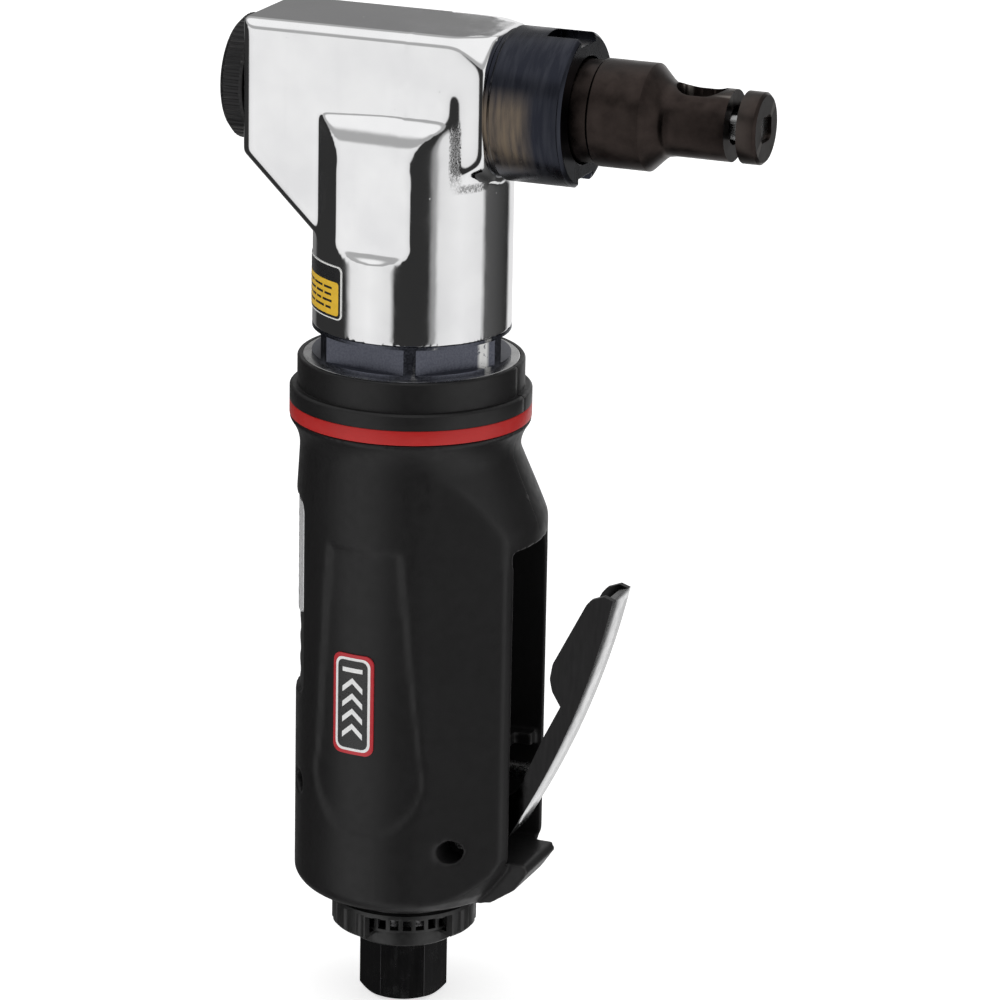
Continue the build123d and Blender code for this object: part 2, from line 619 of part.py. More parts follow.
ROTOR_BEARINGS = {"rear_rotor_bearing": (8.0, ROTOR_JOURNAL_R, MOTOR_FLOOR_Z, 4.5),
                  "front_rotor_bearing": (8.0, ROTOR_JOURNAL_R, LINER_Z1 + 1.5, 4.5)}
CRANK_BEARINGS = {"lower_crank_bearing": (LOWER_BEARING_R, LOWER_SHAFT_R, LOWER_BEARING_Z0, BEARING_WIDTH),
                  "upper_crank_bearing": (UPPER_BEARING_R, UPPER_SHAFT_R, UPPER_BEARING_Z0, BEARING_WIDTH)}


# ---- planetary reduction and crank ------------------------------------------------------------
def ring_gear():
    pitch_r = MODULE * RING_TEETH / 2
    # the tooth spaces of a ring are the shape of a fatter external gear
    gap = gear_face(RING_TEETH, pitch_r + DEDENDUM, pitch_r - ADDENDUM, -TOOTH_RELIEF)
    spaces = Pos(0, 0, GEAR_Z0 - 2) * extrude(gap, amount=GEAR_Z1 - GEAR_Z0 + 4)
    return disc(GEAR_BORE_R - FIT, GEAR_Z0 - 0.5, GEAR_Z1 + 0.5) - spaces


def motor_spacer():
    return tube(GEAR_BORE_R - FIT, 9.0, GEAR_BORE_Z, GEAR_Z0 - 0.5)


def bearing_seat_ring():
    """Steel ring that centres the lower crank bearing in the gear bore and holds the ring gear down."""
    body = tube(GEAR_BORE_R - FIT, LOWER_BEARING_R + FIT, LOWER_BEARING_Z0, NUT_SKIRT_Z0)
    return body + tube(GEAR_BORE_R - FIT, GEAR_BORE_R - 2.2, GEAR_Z1 + 0.5, LOWER_BEARING_Z0)


def planet_gear(index):
    pitch_r = MODULE * PLANET_TEETH / 2
    # a tooth space faces the sun, so a tooth sits half a pitch round from there
    angle = 360 / PLANET_COUNT * index
    first = angle + 180 + 180 / PLANET_TEETH
    outline = gear_face(PLANET_TEETH, pitch_r + ADDENDUM, pitch_r - DEDENDUM, TOOTH_RELIEF, first)
    x, y = planet_place(index)
    gear = Pos(x, y, GEAR_Z0) * extrude(outline, amount=GEAR_Z1 - GEAR_Z0)
    return gear - disc(PLANET_PIN_R + RUN, GEAR_Z0 - 1, GEAR_Z1 + 1, x, y)


def planet_pins():
    pins = Part()
    for index in range(PLANET_COUNT):
        x, y = planet_place(index)
        pins += disc(PLANET_PIN_R, GEAR_Z0 + 0.2, CARRIER_Z1 - 0.5, x, y)
    return pins


def crank_shaft():
    """Planet carrier, two journals, a round web and the crank pin, in one forging."""
    shaft = disc(CARRIER_R, CARRIER_Z0, CARRIER_Z1)
    shaft += disc(LOWER_SHAFT_R, CARRIER_Z1, 142.0) + disc(LOWER_SHAFT_R + 1.4, CARRIER_Z1, LOWER_BEARING_Z0)
    shaft += disc(UPPER_SHAFT_R, 142.0, 176.0) + disc(UPPER_SHAFT_R + 1.2, 175.0, CRANK_WEB_Z0)
    shaft += disc(CRANK_WEB_R, CRANK_WEB_Z0, CRANK_WEB_Z1)
    # the web is cut back beside the pin, so that the heavy side balances the ram
    shaft -= block(5.5, 12, -12, 12, CRANK_WEB_Z0 + 3, CRANK_WEB_Z1 + 1)
    shaft += disc(CRANK_PIN_R + 0.8, CRANK_WEB_Z1 - 1, ROLLER_Z0 - 0.4, x=CRANK_THROW)
    shaft += disc(CRANK_PIN_R, ROLLER_Z0 - 0.4, ROLLER_Z1 + 0.2, x=CRANK_THROW)
    for index in range(PLANET_COUNT):
        x, y = planet_place(index)
        shaft -= disc(PLANET_PIN_R + FIT, CARRIER_Z0 - 1, CARRIER_Z1 - 0.5, x, y)
    return shaft


def crank_roller():
    return tube(ROLLER_R, CRANK_PIN_R + RUN, ROLLER_Z0, ROLLER_Z1, x=CRANK_THROW)


def shaft_spacer():
    return tube(UPPER_SHAFT_R + 1.4, UPPER_SHAFT_R + FIT, 142.0, UPPER_BEARING_Z0)


# ---- head -------------------------------------------------------------------------------------
def clamp_nut():
    """Threaded nut that clamps the head to the motor housing, with six flats for a spanner."""
    flat = HEAD_R * cos(radians(26.5))
    nut = disc(HEAD_R, COLLAR_TOP, NUT_TOP)
    for side in range(6):
        cutter = block(flat, HEAD_R + 2, -15, 15, COLLAR_TOP + 0.9, NUT_TOP - 0.7)
        nut -= Rot(0, 0, 21.3 + 60 * side) * cutter
    nut += disc(NUT_SKIRT_R, NUT_SKIRT_Z0, COLLAR_TOP)
    return nut - disc(NUT_BORE_R, NUT_SKIRT_Z0 - 1, NUT_TOP + 1)


def head_seal():
    return tube(NUT_BORE_R - FIT, NUT_BORE_R - 1.6, SPIGOT_Z0 - 1.0, SPIGOT_Z0)


def head_outer():
    """The polished casting: a vertical barrel, a flat pad on each flank, and a square nose barrel over it."""
    column = disc(HEAD_R, HEAD_Z0, PAD_TOP + 6)
    cove = ThreePointArc((-HEAD_R - 2, PAD_Z0 - 4), (-PAD_Y - 0.5, PAD_Z0 - 1.6), (-PAD_Y, PAD_Z0 + 1.5))
    shoulder = ThreePointArc((-PAD_Y, PAD_Z1), (-PAD_Y + 1.6, PAD_Z1 + 7.6), (-BARREL_HALF, PAD_TOP))
    edges = [cove, Line(cove @ 1, shoulder @ 0), shoulder, Line(shoulder @ 1, (-BARREL_HALF, PAD_TOP + 8)),
             Line((-BARREL_HALF, PAD_TOP + 8), (-HEAD_R - 2, PAD_TOP + 8)),
             Line((-HEAD_R - 2, PAD_TOP + 8), cove @ 0)]
    pad_cut = Rot(0, 0, PAD_TURN) * extrude(Plane.YZ * make_face(edges), amount=30, both=True)
    column = column - pad_cut - mirror(pad_cut, Plane.XZ)

    side = [(BARREL_BACK_X, BARREL_TOP), (BOSS_X, BARREL_TOP), (BOSS_X, BARREL_BOTTOM), (-8, BARREL_BOTTOM),
            (-8, GUSSET_Z0), (GUSSET_X, GUSSET_Z0), (BARREL_BACK_X, GUSSET_Z1)]
    barrel = plate_xz(side, -BARREL_HALF, BARREL_HALF)
    flank_edges = barrel.edges().filter_by(Plane.XZ)
    upper = [e for e in flank_edges if (e @ 0.5).Z > BARREL_TOP - 0.1]
    rear = [e for e in flank_edges if (e @ 0.5).X < BARREL_BACK_X + 0.1]
    gusset = [e for e in flank_edges if BARREL_BACK_X + 1 < (e @ 0.5).X < -18 and (e @ 0.5).Z < 200]
    barrel = fillet(upper + rear + gusset, 3.2)
    # towards the lock nut the square barrel becomes round
    taper = ThreePointArc((6.0, 0, NOSE_Z + 23.4), (15.5, 0, NOSE_Z + 20.2), (BOSS_X, 0, NOSE_Z + BOSS_R))
    rounding = revolve(make_face([taper, Line(taper @ 1, (BOSS_X, 0, NOSE_Z)), Line((BOSS_X, 0, NOSE_Z),
                       (6.0, 0, NOSE_Z)), Line((6.0, 0, NOSE_Z), taper @ 0)]), NOSE_AXIS)
    nose = barrel & (rounding + block(-50, 6.0, -40, 40, 150, 240))
    return column + nose + rod(NIPPLE_R, BOSS_X, NIPPLE_X)


def head_housing():
    head = head_outer() + disc(NUT_BORE_R - FIT, SPIGOT_Z0, HEAD_Z0)
    head -= disc(NUT_BORE_R - 3, SPIGOT_Z0 - 1, 164.0)
    head -= disc(UPPER_BEARING_R + FIT, 163.0, UPPER_BEARING_Z0 + BEARING_WIDTH)
    head -= disc(CHAMBER_R, 170.0, NOSE_Z)
    head -= rod(NOSE_BORE_R, -30, 27.5)
    head -= rod(DIE_R + FIT, 27.5, NIPPLE_X + 1)
    return head - rod(12.0 + FIT, BARREL_BACK_X - 5, -30)


def rear_cap():
    """Knurled screw cap that closes the back of the nose bore."""
    cap = rod(CAP_R, CAP_X0, BARREL_BACK_X)
    cap = chamfer(cap.edges().group_by(Axis.X)[0], 1.2)
    ridge_count = 60
    for ridge in range(ridge_count):
        y, z = polar(CAP_R + 0.25, 360 / ridge_count * ridge)
        cap -= rod(0.5, CAP_X0 - 1, BARREL_BACK_X - 0.8, NOSE_Z + z, y)
    cap += rod(12.0, BARREL_BACK_X, -31.0)
    return cap - rod(4.5, CAP_X0 - 1, CAP_X0 + 2.0)


def ram_bushing(x0, x1):
    return sleeve(NOSE_BORE_R - FIT, RAM_R + RUN, x0, x1)


def caution_label():
    return curved_plate(HEAD_R, 0.15, -163.0, -111.6, 159.4, 171.2, 1.2)


# ---- ram, punch and die -----------------------------------------------------------------------
def ram():
    """A round ram with a yoke slot under it for the crank roller and a socket in front for the punch."""
    body = rod(RAM_R, RAM_X0, RAM_X1)
    half = ROLLER_R + YOKE_PLAY
    body -= block(CRANK_THROW - half, CRANK_THROW + half, -RAM_R - 1, RAM_R + 1, NOSE_Z - RAM_R - 1, YOKE_TOP_Z)
    body -= rod(PUNCH_R + FIT, 13.0, RAM_X1 + 1)
    return body - disc(2.0 + FIT, NOSE_Z + 3, NOSE_Z + RAM_R + 1, x=20.0)


def punch():
    """Round shank in the ram, a long guided body, and a flat-sided cutting tip."""
    body = rod(PUNCH_R, 13.0, 66.0)
    blade = Rot(0, 90, 0) * extrude(RectangleRounded(PUNCH_BLADE_Z, PUNCH_BLADE_Y, 1.6), amount=PUNCH_TIP_X - 60.0)
    body += Pos(60.0, 0, NOSE_Z) * blade
    return body - disc(2.0 + FIT, NOSE_Z + 3.0, NOSE_Z + 6, x=20.0)


def punch_screw():
    screw = disc(2.0, NOSE_Z + 3.0, NOSE_Z + RAM_R - 0.6, x=20.0)
    return screw - disc(0.9, NOSE_Z + RAM_R - 2.6, NOSE_Z + RAM_R, x=20.0)


def die():
    """Hardened die: a guide barrel, a neck with a chip window, and a cutting disc past the sheet gap."""
    body = turned_on_nose([(DIE_X0, 0), (DIE_X0, DIE_R), (NIPPLE_X, DIE_R), (NIPPLE_X, 12.6), (36.2, 12.6),
                           (36.2, DIE_R - 0.5), (43.0, DIE_R - 0.5), (43.6, DIE_R), (DIE_SHOULDER_X, DIE_R),
                           (57.4, 8.9), (58.6, 8.0), (60.6, DIE_NECK_R), (DIE_TIP_X - 0.6, DIE_NECK_R),
                           (DIE_TIP_X, DIE_NECK_R - 0.6), (DIE_TIP_X, 0)])
    body -= rod(PUNCH_R + RUN, DIE_X0 - 1, 72.5)
    window = Rot(0, 90, 0) * extrude(RectangleRounded(PUNCH_BLADE_Z + 0.16, PUNCH_BLADE_Y + 0.16, 1.6), amount=20)
    body -= Pos(DIE_FACE_X - 6, 0, NOSE_Z) * window
    # sheet gap: open below, above and on the near flank, with the web left on the far flank
    gap_tool = block(DIE_FACE_X, DIE_DISC_X, -9, 9, NOSE_Z - 9, NOSE_Z + 9)
    web = block(DIE_FACE_X - 1, DIE_DISC_X + 1, 4.4, 9, NOSE_Z - 3.6, NOSE_Z + 3.6)
    body -= gap_tool - web
    # chip window through the top of the neck
    opening = extrude(Plane.XY.offset(NOSE_Z) * Pos(65.0, 0) * SlotOverall(11.0, 8.4), amount=12)
    return body - opening


def lock_nut():
    """Round nut with two spanner notches that clamps the die in the head's nipple."""
    nut = turned_on_nose([(BOSS_X, NIPPLE_R + FIT), (BOSS_X, LOCK_NUT_R - 0.7), (BOSS_X + 0.8, LOCK_NUT_R - 0.7),
                          (BOSS_X + 1.5, LOCK_NUT_R), (LOCK_NUT_X1 - 0.7, LOCK_NUT_R),
                          (LOCK_NUT_X1, LOCK_NUT_R - 0.7), (LOCK_NUT_X1, DIE_R + 0.1), (36.2, DIE_R + 0.1), (36.2, NIPPLE_R + FIT)])
    for side in (-1, 1):
        notch = block(31.6, LOCK_NUT_X1 + 1, -4.2, 4.2, NOSE_Z + 14.2, NOSE_Z + 20)
        nut -= notch if side > 0 else mirror(notch, Plane.XY.offset(NOSE_Z))
    return nut


def die_washer():
    return sleeve(NIPPLE_R - 0.1, 12.6 + FIT, NIPPLE_X, 36.2)


# ---- write every node -------------------------------------------------------------------------
NODES = {
    "inlet_bushing": inlet_bushing(),
    "inlet_screen": inlet_screen(),
    "inlet_seal": inlet_seal(),
    "exhaust_deflector": exhaust_deflector(),
    "muffler_cage": muffler_cage(),
    "exhaust_muffler": exhaust_muffler(),
    "motor_housing": motor_housing(),
    "stem_bushing": stem_bushing(),
    "throttle_stem": throttle_stem(),
    "stem_seal": stem_seal(),
    "valve_spring": valve_spring(),
    "valve_cap": valve_cap(),
    "throttle_lever": throttle_lever(),
    "lever_pin": lever_pin(),
    "grip": grip(),
    "grip_screws": grip_screws(),
    "accent_band": accent_band(),
    "grip_collar": grip_collar(),
    "rating_plate": rating_plate(),
    "side_badge": side_badge(),
    "rear_end_plate": rear_end_plate(),
    "front_end_plate": front_end_plate(),
    "cylinder_liner": cylinder_liner(),
    "locating_pin": locating_pin(),
    "rotor": rotor(),
    "rotor_vanes": rotor_vanes(),
    "sun_pinion": sun_pinion(),
    "ring_gear": ring_gear(),
    "motor_spacer": motor_spacer(),
    "bearing_seat_ring": bearing_seat_ring(),
    "planet_pins": planet_pins(),
    "crank_shaft": crank_shaft(),
    "crank_roller": crank_roller(),
    "shaft_spacer": shaft_spacer(),
    "clamp_nut": clamp_nut(),
    "head_seal": head_seal(),
    "head_housing": head_housing(),
    "rear_cap": rear_cap(),
    "rear_ram_bushing": ram_bushing(-28.0, -12.0),
    "front_ram_bushing": ram_bushing(12.0, 27.4),
    "caution_label": caution_label(),
    "ram": ram(),
    "punch": punch(),
    "punch_screw": punch_screw(),
    "die": die(),
    "die_washer": die_washer(),
    "lock_nut": lock_nut(),
}
for index in range(PLANET_COUNT):
    NODES[f"planet_gear_{index + 1}"] = planet_gear(index)
for name, sizes in {**ROTOR_BEARINGS, **CRANK_BEARINGS}.items():
    NODES[name] = bearing_fixed(*sizes)
    NODES[name + "_inner_ring"] = bearing_turning(*sizes)

os.makedirs("parts", exist_ok=True)
for name, shape in NODES.items():
    export_step(shape, f"parts/{name}.step")
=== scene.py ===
"""Pneumatic nibbler: finishes, softened castings, printed badges, studio and camera, round the CAD frame.

Units are metres in the row frame: +Z up the handle, +X along the nose. MM converts millimetre figures.
"""
import bpy
import bmesh
import json
import numpy as np
from math import cos, pi, radians, sin
from mathutils import Matrix, Vector


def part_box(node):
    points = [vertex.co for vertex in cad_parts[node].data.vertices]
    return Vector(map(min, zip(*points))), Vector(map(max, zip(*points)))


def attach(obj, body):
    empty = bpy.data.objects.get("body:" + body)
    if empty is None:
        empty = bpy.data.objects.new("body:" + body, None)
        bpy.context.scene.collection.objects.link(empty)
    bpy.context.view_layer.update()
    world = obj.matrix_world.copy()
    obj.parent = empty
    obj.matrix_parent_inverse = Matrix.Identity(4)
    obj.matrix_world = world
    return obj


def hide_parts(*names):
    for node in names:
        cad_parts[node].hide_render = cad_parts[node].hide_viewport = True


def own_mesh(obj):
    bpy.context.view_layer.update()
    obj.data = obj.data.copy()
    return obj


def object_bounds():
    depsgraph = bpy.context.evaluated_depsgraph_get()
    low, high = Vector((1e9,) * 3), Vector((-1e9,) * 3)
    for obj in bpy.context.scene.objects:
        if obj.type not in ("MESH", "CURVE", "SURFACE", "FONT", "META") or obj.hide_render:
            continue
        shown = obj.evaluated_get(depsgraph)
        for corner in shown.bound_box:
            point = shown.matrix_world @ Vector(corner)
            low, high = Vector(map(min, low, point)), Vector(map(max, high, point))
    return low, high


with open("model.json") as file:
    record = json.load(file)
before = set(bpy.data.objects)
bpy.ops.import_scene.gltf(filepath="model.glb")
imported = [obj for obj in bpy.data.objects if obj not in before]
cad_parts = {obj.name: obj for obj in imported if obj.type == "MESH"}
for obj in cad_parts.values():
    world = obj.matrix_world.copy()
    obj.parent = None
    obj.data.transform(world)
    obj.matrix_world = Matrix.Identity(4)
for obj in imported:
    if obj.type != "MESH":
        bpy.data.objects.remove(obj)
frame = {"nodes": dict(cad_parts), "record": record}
cad_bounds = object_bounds()
nodes = frame["nodes"]
MM = 0.001

# ---- places taken from the CAD frame ----------------------------------------------------------
NOSE_Z = sum(c.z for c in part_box("lock_nut")) / 2
BADGE_LOW, BADGE_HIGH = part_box("side_badge")
CAUTION_LOW, CAUTION_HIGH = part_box("caution_label")
PLATE_LOW, PLATE_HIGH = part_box("rating_plate")
SEAM_CORNER_X = 0.0157        # the rough seam runs down this edge of the nose boss
SEAM_CORNER_Y = 0.015
SEAM_MIDDLE_Z = 0.197
SEAM_FOOT_X = 0.0185          # and then along this foot of it
SEAM_FOOT_Z = 0.1896
NOTCH_FLOOR_R = 0.0142        # floors of the lock nut's spanner notches, from the nose axis
SLIPPED_Y = -0.0068           # where a spanner has bared the clamp nut


# ---- shader helpers ---------------------------------------------------------------------------
class Shader:
    """A principled material and short calls that wire textures into it."""

    def __init__(self, name, base, metallic=0.0, roughness=0.5, specular=0.5, coat=0.0, coat_roughness=0.1):
        self.material = bpy.data.materials.new(name)
        self.material.use_nodes = True
        self.tree = self.material.node_tree
        self.bsdf = self.tree.nodes["Principled BSDF"]
        self.bsdf.inputs["Base Color"].default_value = (*base, 1)
        self.bsdf.inputs["Metallic"].default_value = metallic
        self.bsdf.inputs["Roughness"].default_value = roughness
        self.bsdf.inputs["Specular IOR Level"].default_value = specular
        self.bsdf.inputs["Coat Weight"].default_value = coat
        self.bsdf.inputs["Coat Roughness"].default_value = coat_roughness
        self.coord = self.tree.nodes.new("ShaderNodeTexCoord").outputs["Object"]

    def add(self, kind, **settings):
        node = self.tree.nodes.new(kind)
        for key, value in settings.items():
            setattr(node, key, value)
        return node

    def feed(self, socket, value):
        if isinstance(value, bpy.types.NodeSocket):
            self.tree.links.new(value, socket)
        else:
            socket.default_value = value

    def noise(self, size_mm, detail=3.0, stretch=(1, 1, 1), rough=0.5):
        """Noise with features about size_mm across, in 0..1. stretch scales the coordinates on each axis."""
        mapping = self.add("ShaderNodeMapping")
        mapping.inputs["Scale"].default_value = stretch
        self.feed(mapping.inputs["Vector"], self.coord)
        texture = self.add("ShaderNodeTexNoise")
        texture.inputs["Scale"].default_value = 1 / (size_mm * MM)
        texture.inputs["Detail"].default_value = detail
        texture.inputs["Roughness"].default_value = rough
        self.feed(texture.inputs["Vector"], mapping.outputs["Vector"])
        return texture.outputs["Fac"]

    def spots(self, size_mm):
        """Distance to scattered points, for pits and chips."""
        texture = self.add("ShaderNodeTexVoronoi")
        texture.inputs["Scale"].default_value = 1 / (size_mm * MM)
        self.feed(texture.inputs["Vector"], self.coord)
        return texture.outputs["Distance"]

    def span(self, value, low, high, to_low, to_high):
        node = self.add("ShaderNodeMapRange")
        self.feed(node.inputs["Value"], value)
        for key, number in (("From Min", low), ("From Max", high), ("To Min", to_low), ("To Max", to_high)):
            node.inputs[key].default_value = number
        return node.outputs["Result"]

    def math(self, operation, a, b=0.0):
        node = self.add("ShaderNodeMath", operation=operation)
        self.feed(node.inputs[0], a)
        self.feed(node.inputs[1], b)
        return node.outputs[0]

    def mix(self, factor, a, b):
        """Colour a where factor is 0 and colour b where it is 1."""
        node = self.add("ShaderNodeMix", data_type="RGBA")
        self.feed(node.inputs[0], factor)
        self.feed(node.inputs[6], a if isinstance(a, bpy.types.NodeSocket) else (*a, 1))
        self.feed(node.inputs[7], b if isinstance(b, bpy.types.NodeSocket) else (*b, 1))
        return node.outputs[2]

    def axis(self, name):
        node = self.add("ShaderNodeSeparateXYZ")
        self.feed(node.inputs[0], self.coord)
        return node.outputs[name]

    def facing(self, name):
        """One component of the object-space normal."""
        node = self.add("ShaderNodeSeparateXYZ")
        self.feed(node.inputs[0], self.add("ShaderNodeTexCoord").outputs["Normal"])
        return node.outputs[name]

    def edges(self):
        """About 0 in hollows, 0.5 on flats and 1 along convex edges."""
        return self.add("ShaderNodeNewGeometry").outputs["Pointiness"]

    def colour(self, value):
        self.feed(self.bsdf.inputs["Base Color"], value)

    def roughness(self, value):
        self.feed(self.bsdf.inputs["Roughness"], value)

    def bump(self, *layers):
        """Layers of (height, depth in mm), chained."""
        normal = None
        for height, depth_mm in layers:
            node = self.add("ShaderNodeBump")
            node.inputs["Strength"].default_value = 1.0
            node.inputs["Distance"].default_value = depth_mm * MM
            self.feed(node.inputs["Height"], height)
            if normal is not None:
                self.feed(node.inputs["Normal"], normal)
            normal = node.outputs["Normal"]
        self.feed(self.bsdf.inputs["Normal"], normal)


# ---- materials --------------------------------------------------------------------------------
def near(s, axis_value, middle, reach):
    """1 within reach of a middle value, falling smoothly to 0 at twice the reach."""
    return s.span(s.math("ABSOLUTE", s.math("SUBTRACT", axis_value, middle)), reach, 2 * reach, 1, 0)


def cast_seam(s):
    """Where the polishing wheel did not reach: the corners where the nose boss leaves the head."""
    x, z = s.axis("X"), s.axis("Z")
    flank = s.math("ABSOLUTE", s.axis("Y"))
    upright = s.math("MULTIPLY", near(s, x, SEAM_CORNER_X, 0.0006), near(s, z, SEAM_MIDDLE_Z, 0.004))
    upright = s.math("MULTIPLY", upright, near(s, flank, SEAM_CORNER_Y, 0.001))
    level = s.math("MULTIPLY", near(s, z, SEAM_FOOT_Z, 0.0006), near(s, x, SEAM_FOOT_X, 0.0017))
    level = s.math("MULTIPLY", level, s.span(flank, 0.009, 0.011, 0, 1))
    return s.math("MAXIMUM", upright, level)


def polished_aluminium():
    s = Shader("polished_aluminium", (0.86, 0.86, 0.87), metallic=1.0, roughness=0.1)
    cloud = s.noise(14, detail=4)
    polished = s.mix(s.span(cloud, 0.35, 0.7, 0, 1), (0.93, 0.93, 0.935), (0.86, 0.86, 0.87))
    grain = s.noise(0.45, detail=5)
    seam = s.math("MULTIPLY", cast_seam(s), s.span(grain, 0.4, 0.6, 0.15, 0.75))
    s.colour(s.mix(seam, polished, (0.3, 0.3, 0.3)))
    scratches = s.noise(1.6, detail=2, stretch=(1, 1, 0.05))
    mist = s.span(s.noise(7, detail=5), 0.4, 0.75, 0.06, 0.15)
    haze = s.math("ADD", mist, s.span(scratches, 0.6, 0.8, 0, 0.07))
    s.roughness(s.math("ADD", haze, s.math("MULTIPLY", seam, 0.4)))
    pits = s.span(s.spots(5.5), 0.0, 0.035, -1, 0)
    s.bump((s.noise(9, detail=2), 0.05), (s.noise(1.3, detail=3), 0.003), (scratches, 0.0015), (pits, 0.04),
           (seam, 0.08))
    return s.material


def black_composite():
    s = Shader("black_composite", (0.0105, 0.0102, 0.0105), roughness=0.42, specular=0.33)
    broad = s.noise(18, detail=3)
    tone = s.mix(broad, (0.009, 0.0087, 0.009), (0.0125, 0.0121, 0.0125))
    front = s.span(s.axis("X"), 0.022, 0.024, 0, 1)
    # painted highlight: convex edges at the front of the grip, round the lever slot, are coloured lighter for
    # light caught on their small radius
    painted_slot_edge_highlight = s.math("MULTIPLY", s.span(s.edges(), 0.53, 0.58, 0, 0.5), front)
    s.colour(s.mix(painted_slot_edge_highlight, tone, (0.09, 0.088, 0.088)))
    s.roughness(s.span(s.noise(2.2, detail=4), 0.3, 0.7, 0.36, 0.48))
    ahead = s.span(s.axis("X"), 0.004, 0.005, 0, 1)
    parting = s.math("MULTIPLY", near(s, s.axis("Y"), 0.0, 0.00009), ahead)
    parting = s.math("MULTIPLY", parting, s.span(s.axis("Z"), 0.112, 0.113, 0, -1))
    s.bump((s.noise(0.28, detail=3), 0.012), (s.noise(1.2, detail=2), 0.006), (parting, 0.08))
    return s.material


def red_band():
    s = Shader("red_band", (0.5, 0.014, 0.012), roughness=0.38, specular=0.35)
    s.colour(s.mix(s.noise(6, detail=3), (0.4, 0.01, 0.009), (0.5, 0.016, 0.014)))
    s.roughness(s.span(s.noise(1.5), 0.3, 0.7, 0.3, 0.46))
    s.bump((s.noise(0.5, detail=3), 0.006))
    return s.material


def black_plastic():
    s = Shader("black_plastic", (0.016, 0.016, 0.016), roughness=0.36, specular=0.5)
    s.colour(s.mix(s.noise(5), (0.012, 0.012, 0.012), (0.022, 0.022, 0.022)))
    s.roughness(s.span(s.noise(1.2, detail=4), 0.3, 0.7, 0.28, 0.48))
    s.bump((s.noise(0.4, detail=3), 0.008))
    return s.material


def black_nickel():
    s = Shader("black_nickel", (0.1, 0.1, 0.105), metallic=1.0, roughness=0.24)
    lengthwise = s.noise(0.9, detail=3, stretch=(1, 1, 0.06))
    s.colour(s.mix(s.noise(5, detail=3), (0.1, 0.1, 0.105), (0.19, 0.187, 0.19)))
    patches = s.span(s.noise(3), 0.5, 0.8, 0, 0.1)
    s.roughness(s.math("ADD", s.span(lengthwise, 0.3, 0.7, 0.16, 0.27), patches))
    s.bump((lengthwise, 0.002), (s.noise(2.5, detail=3), 0.008))
    return s.material


def black_lever_painted_reflection():
    """Glossy black on the cheeks and inside, scuffed along the bow. The outer face is coloured bright metal
    as a painted reflection of the bright backdrop seen at a grazing angle.
    """
    s = Shader("black_lever_painted_reflection", (0.3, 0.3, 0.3), metallic=1.0, roughness=0.2)
    scuffs = s.noise(0.7, detail=4, stretch=(1, 1, 0.12))
    # painted reflection: faces turned towards +X get a bright metal colour for the backdrop they reflect at a
    # grazing angle
    painted_reflection_face = s.span(s.facing("X"), 0.7, 0.82, 0, 1)
    black = s.mix(s.span(scuffs, 0.35, 0.75, 0, 1), (0.023, 0.0227, 0.023), (0.029, 0.0286, 0.029))
    # the painted reflection colour, with scuff tones; the black above is the lever's own colour
    bright = s.mix(s.span(scuffs, 0.3, 0.75, 0, 1), (0.88, 0.88, 0.885), (0.96, 0.96, 0.965))
    s.colour(s.mix(painted_reflection_face, black, bright))
    s.roughness(s.span(s.noise(2.4, detail=4), 0.3, 0.7, 0.14, 0.28))
    s.bump((scuffs, 0.002), (s.noise(4), 0.008))
    return s.material


def phosphated_steel():
    """Dark phosphate with grey mottling, and bright metal where a spanner has slipped."""
    s = Shader("phosphated_steel", (0.1, 0.1, 0.11), metallic=1.0, roughness=0.4)
    mottle = s.span(s.noise(0.45, detail=6, rough=0.65), 0.4, 0.7, 0, 1)
    dark = s.mix(mottle, (0.085, 0.09, 0.113), (0.16, 0.166, 0.2))
    ahead = s.span(s.axis("X"), 0.012, 0.014, 0, 1)
    flank = s.math("MULTIPLY", near(s, s.axis("Y"), SLIPPED_Y, 0.0006), ahead)
    slipped = s.math("MULTIPLY", flank, s.span(s.noise(0.9, detail=5), 0.34, 0.42, 0, 1))
    worn = s.math("MAXIMUM", slipped, s.math("MULTIPLY", s.span(s.edges(), 0.55, 0.6, 0, 1), mottle))
    s.colour(s.mix(worn, dark, (0.72, 0.72, 0.71)))
    s.roughness(s.span(mottle, 0, 1, 0.3, 0.5))
    s.bump((s.noise(0.45, detail=5, rough=0.65), 0.012))
    return s.material


def blued_steel():
    """Blue-black turned steel, brown at its back, with bright metal worn through on its rims."""
    s = Shader("blued_steel", (0.035, 0.038, 0.05), metallic=1.0, roughness=0.3)
    rings = s.noise(0.5, detail=5, stretch=(0.12, 1, 1), rough=0.6)
    streaks = s.noise(1.4, detail=4, stretch=(1.0, 0.18, 0.1), rough=0.55)
    blue = s.mix(s.span(streaks, 0.4, 0.75, 0, 1), (0.026, 0.028, 0.038), (0.052, 0.055, 0.068))
    back = s.span(s.axis("X"), 0.0335, 0.0295, 0, 1)
    rusty = s.math("MULTIPLY", near(s, s.axis("Z"), NOSE_Z - 0.003, 0.005), back)
    rusty = s.math("MULTIPLY", rusty, s.span(streaks, 0.35, 0.65, 0.25, 1))
    tint = s.mix(rusty, blue, (0.19, 0.15, 0.11))
    from_nose = s.math("ABSOLUTE", s.math("SUBTRACT", s.axis("Z"), NOSE_Z))
    notch_floor = s.math("MULTIPLY", s.span(s.math("ABSOLUTE", s.facing("Z")), 0.995, 0.999, 0, 0.7),
                         near(s, from_nose, NOTCH_FLOOR_R, 0.0003))
    tint = s.mix(notch_floor, tint, (0.32, 0.31, 0.3))
    rubbed = s.span(s.noise(1.2, detail=4), 0.4, 0.6, 0.2, 0.7)
    worn = s.math("MULTIPLY", s.span(s.edges(), 0.56, 0.64, 0, 1), rubbed)
    s.colour(s.mix(worn, tint, (0.45, 0.45, 0.45)))
    s.roughness(s.span(streaks, 0.3, 0.75, 0.22, 0.36))
    s.bump((streaks, 0.002), (rings, 0.002))
    return s.material


